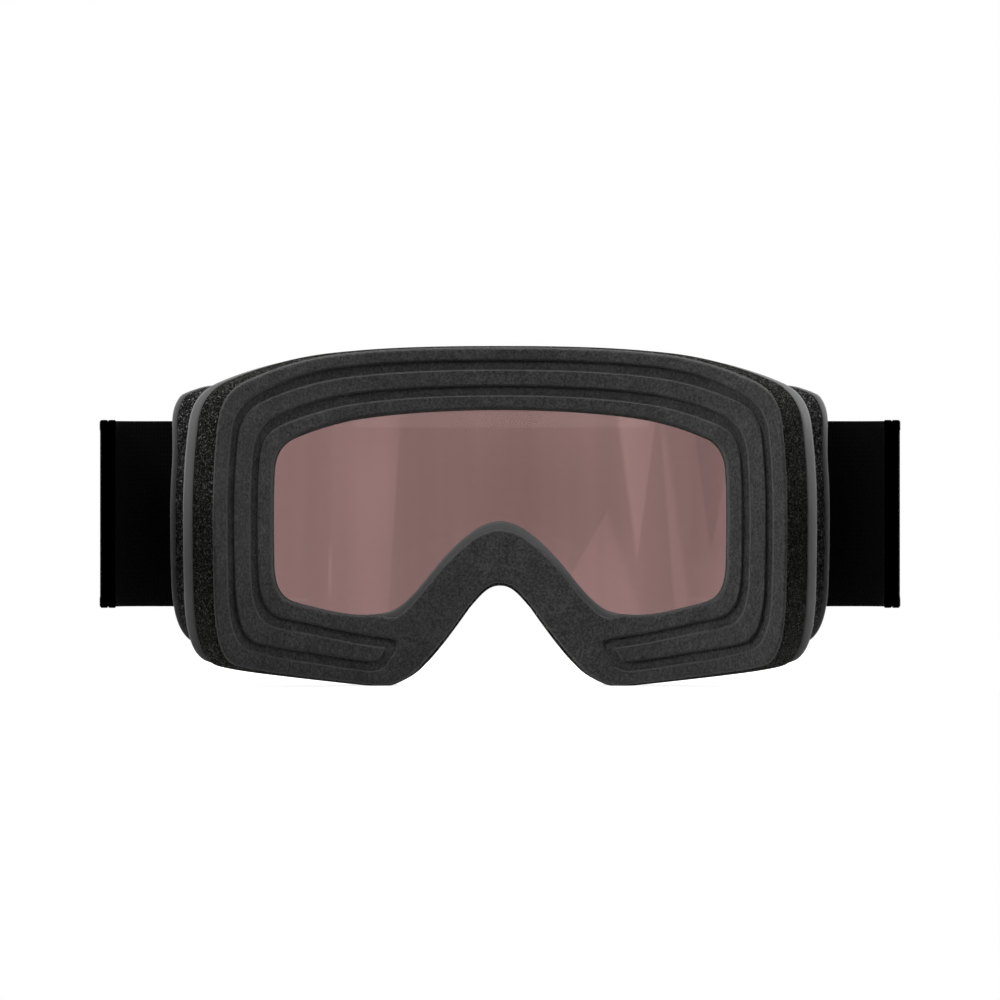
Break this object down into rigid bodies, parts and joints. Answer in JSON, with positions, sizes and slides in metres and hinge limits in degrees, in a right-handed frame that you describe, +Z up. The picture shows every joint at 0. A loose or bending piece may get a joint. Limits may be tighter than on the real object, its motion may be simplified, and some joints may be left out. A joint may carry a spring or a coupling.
{
  "type": "snow goggles",
  "caption": "Snow goggles: curved lens module held by magnets, vented flexible frame, layered face foam with moulded channels, elastic strap loop with sliders.",
  "frame": {"origin": "on the ground under the middle of the whole object, strap loop included", "axes": "+Y is the way the wearer looks, +X to one side, +Z up"},
  "size_m": [0.2152, 0.1844, 0.0915],
  "materials": {
    "fleece": "matte",
    "soft_foam": "matte",
    "firm_foam": "matte",
    "frame_plastic": "satin",
    "vent_foam": "matte",
    "gasket": "matte",
    "magnet": "gloss",
    "carrier_plastic": "satin",
    "outer_lens": "gloss",
    "spacer": "matte",
    "inner_lens": "gloss",
    "steel_bar": "satin",
    "webbing": "matte",
    "grip_rubber": "gloss",
    "slider_plastic": "satin"
  },
  "bodies": {
    "goggles": {"face_fleece": "fleece", "comfort_foam": "soft_foam", "base_foam": "firm_foam", "frame": "frame_plastic", "vent_foam_top": "vent_foam", "vent_foam_left": "vent_foam", "vent_foam_right": "vent_foam", "vent_foam_cheek_left": "vent_foam", "vent_foam_cheek_right": "vent_foam", "lens_gasket": "gasket", "frame_magnets": "magnet", "strap_bar_left": "steel_bar", "strap_bar_right": "steel_bar", "strap_webbing": "webbing", "strap_grip": "grip_rubber"},
    "lens_module": {"lens_carrier": "carrier_plastic", "outer_lens": "outer_lens", "lens_spacer": "spacer", "inner_lens": "inner_lens", "lens_magnets": "magnet"},
    "left_slider": {"slider_left": "slider_plastic"},
    "right_slider": {"slider_right": "slider_plastic"}
  },
  "joints": [
    {"name": "lens_pull", "type": "slide", "parent": "goggles", "child": "lens_module", "axis": [0, 1, 0], "range_m": [0, 0.03]},
    {"name": "right_slider_travel", "type": "hinge", "parent": "goggles", "child": "right_slider", "pos_m": [0, 0.01156, 0.0465], "axis": [0, 0, 1], "range_deg": [-18, 20]},
    {"name": "left_slider_travel", "type": "hinge", "parent": "goggles", "child": "left_slider", "pos_m": [0, 0.01156, 0.0465], "axis": [0, 0, 1], "range_deg": [-20, 18]}
  ]
}
